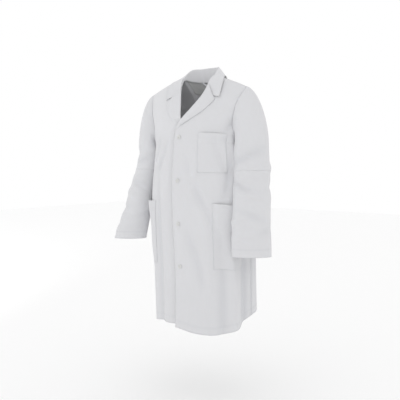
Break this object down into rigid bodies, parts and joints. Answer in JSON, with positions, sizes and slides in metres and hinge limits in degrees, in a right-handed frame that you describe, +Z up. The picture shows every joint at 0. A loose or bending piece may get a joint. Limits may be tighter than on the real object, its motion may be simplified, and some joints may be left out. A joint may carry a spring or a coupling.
{
  "type": "lab coat",
  "caption": "White knee-length lab coat with a notched collar, a left-over-right buttoned front, a breast pocket, lower patch pockets and long sleeves.",
  "frame": {"origin": "middle of the neck opening, level with the back neck seam", "axes": "+Z up, towards the wearer's head; the wearer faces -Y; +X is the wearer's left"},
  "size_m": [0.728, 0.3589, 1.0366],
  "materials": {
    "cotton_white": "matte",
    "cotton_inner": "matte",
    "button_plastic": "glossy",
    "thread_white": "matte",
    "label_tape": "satin"
  },
  "bodies": {
    "coat_body": {"back_left_panel": "cotton_white", "back_right_panel": "cotton_white", "left_side_front": "cotton_white", "right_side_front": "cotton_white", "back_hem": "cotton_inner", "left_side_hem": "cotton_inner", "right_side_hem": "cotton_inner", "back_neck_facing": "cotton_inner", "collar_stand": "cotton_inner", "under_collar": "cotton_white", "top_collar": "cotton_white", "breast_pocket": "cotton_white", "breast_pocket_hem": "cotton_inner", "left_pocket": "cotton_white", "left_pocket_hem": "cotton_inner", "right_pocket": "cotton_white", "right_pocket_hem": "cotton_inner", "left_sleeve_head": "cotton_white", "right_sleeve_head": "cotton_white"},
    "left_front": {"left_front_panel": "cotton_white", "left_facing": "cotton_inner", "left_lapel": "cotton_white", "left_front_hem": "cotton_inner"},
    "right_front": {"right_front_panel": "cotton_white", "right_facing": "cotton_inner", "right_lapel": "cotton_white", "right_front_hem": "cotton_inner", "buttons": "button_plastic", "button_threads": "thread_white"},
    "left_upper_arm": {"left_upper_sleeve": "cotton_white"},
    "left_forearm": {"left_lower_sleeve": "cotton_white", "left_cuff_hem": "cotton_inner"},
    "right_upper_arm": {"right_upper_sleeve": "cotton_white"},
    "right_forearm": {"right_lower_sleeve": "cotton_white", "right_cuff_hem": "cotton_inner"},
    "label_flap": {"neck_label": "label_tape"},
    "loop_flap": {"hanger_loop": "cotton_white"}
  },
  "joints": [
    {"name": "left_front_open", "type": "hinge", "parent": "coat_body", "child": "left_front", "pos_m": [0.1, -0.06, -0.02], "axis": [-0.1213, -0.0607, 0.9908], "range_deg": [0, 40]},
    {"name": "right_front_open", "type": "hinge", "parent": "coat_body", "child": "right_front", "pos_m": [-0.1, -0.06, -0.02], "axis": [0.1213, -0.0607, 0.9908], "range_deg": [-20.2, 0]},
    {"name": "left_arm_swing", "type": "hinge", "parent": "coat_body", "child": "left_upper_arm", "pos_m": [0.22, 0, -0.13], "axis": [1, 0, 0], "range_deg": [-60, 0]},
    {"name": "left_elbow_bend", "type": "hinge", "parent": "left_upper_arm", "child": "left_forearm", "pos_m": [0.274, -0.002, -0.39], "axis": [1, 0, 0], "range_deg": [-68, 0]},
    {"name": "right_arm_swing", "type": "hinge", "parent": "coat_body", "child": "right_upper_arm", "pos_m": [-0.22, 0, -0.13], "axis": [1, 0, 0], "range_deg": [-60, 0]},
    {"name": "right_elbow_bend", "type": "hinge", "parent": "right_upper_arm", "child": "right_forearm", "pos_m": [-0.274, -0.002, -0.39], "axis": [1, 0, 0], "range_deg": [-68, 0]},
    {"name": "label_flip", "type": "hinge", "parent": "coat_body", "child": "label_flap", "pos_m": [0, 0.09, -0.027], "axis": [1, 0, 0], "range_deg": [-70, 0]},
    {"name": "loop_flip", "type": "hinge", "parent": "coat_body", "child": "loop_flap", "pos_m": [0, 0.0713, -0.002], "axis": [1, 0, 0], "range_deg": [-80, 0]}
  ],
  "couplings": [
    {"joint": "right_front_open", "follows": "left_front_open", "ratio": -0.5}
  ]
}
